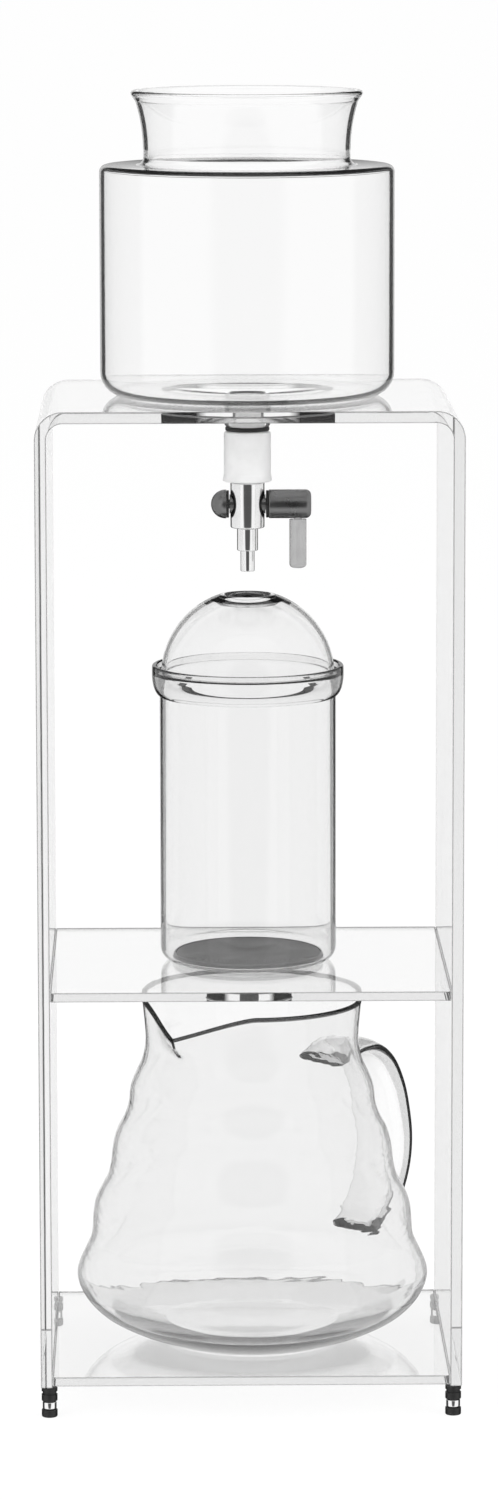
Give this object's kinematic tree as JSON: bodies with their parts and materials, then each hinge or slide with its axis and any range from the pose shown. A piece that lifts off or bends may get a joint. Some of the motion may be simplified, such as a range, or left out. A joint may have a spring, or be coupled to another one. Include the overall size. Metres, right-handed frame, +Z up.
{
  "type": "cold drip coffee tower",
  "caption": "Clear arch stand carrying a glass water vessel with a drip stopcock, a domed coffee chamber with a filter, and a wavy glass carafe below.",
  "frame": {"origin": "on the floor, under the middle of the stand", "axes": "+Z up, +X to the right with the stopcock lever, -Y towards the front"},
  "size_m": [0.18, 0.1574, 0.5616],
  "materials": {
    "acrylic": "polished clear",
    "glass": "clear borosilicate",
    "steel": "polished stainless",
    "dark_steel": "satin",
    "mesh_steel": "woven mesh",
    "black_rubber": "matte",
    "silicone": "translucent",
    "lever_plastic": "smooth"
  },
  "bodies": {
    "stand": {"stand_arch": "acrylic", "mid_shelf": "acrylic", "base_shelf": "acrylic", "foot_pad_front_left": "black_rubber", "foot_pin_front_left": "steel", "foot_collar_front_left": "black_rubber", "foot_pad_front_right": "black_rubber", "foot_pin_front_right": "steel", "foot_collar_front_right": "black_rubber", "foot_pad_rear_left": "black_rubber", "foot_pin_rear_left": "steel", "foot_collar_rear_left": "black_rubber", "foot_pad_rear_right": "black_rubber", "foot_pin_rear_right": "steel", "foot_collar_rear_right": "black_rubber"},
    "vessel": {"water_vessel": "glass", "outlet_ring": "black_rubber", "silicone_sleeve": "silicone", "valve_body": "steel", "drip_nozzle": "steel"},
    "stopcock": {"valve_plug": "steel", "nut_washer": "black_rubber", "plug_nut": "dark_steel", "hub_washer": "black_rubber", "lever_hub": "dark_steel", "lever_rod": "lever_plastic"},
    "chamber": {"coffee_chamber": "glass", "outlet_seal": "black_rubber", "filter_rim": "dark_steel", "filter_mesh": "mesh_steel"},
    "lid": {"dome_lid": "glass"},
    "server": {"carafe": "glass"}
  },
  "joints": [
    {"name": "vessel_lift", "type": "slide", "parent": "stand", "child": "vessel", "axis": [0, 0, 1], "range_m": [0, 0.09]},
    {"name": "stopcock_turn", "type": "hinge", "parent": "vessel", "child": "stopcock", "pos_m": [0, 0, 0.3844], "axis": [1, 0, 0], "range_deg": [-90, 90]},
    {"name": "chamber_lift", "type": "slide", "parent": "stand", "child": "chamber", "axis": [0, 0, 1], "range_m": [0, 0.0075]},
    {"name": "lid_lift", "type": "slide", "parent": "chamber", "child": "lid", "axis": [0, 0, 1], "range_m": [0, 0.005]},
    {"name": "carafe_slide", "type": "slide", "parent": "stand", "child": "server", "axis": [0, -1, 0], "range_m": [0, 0.17]}
  ]
}
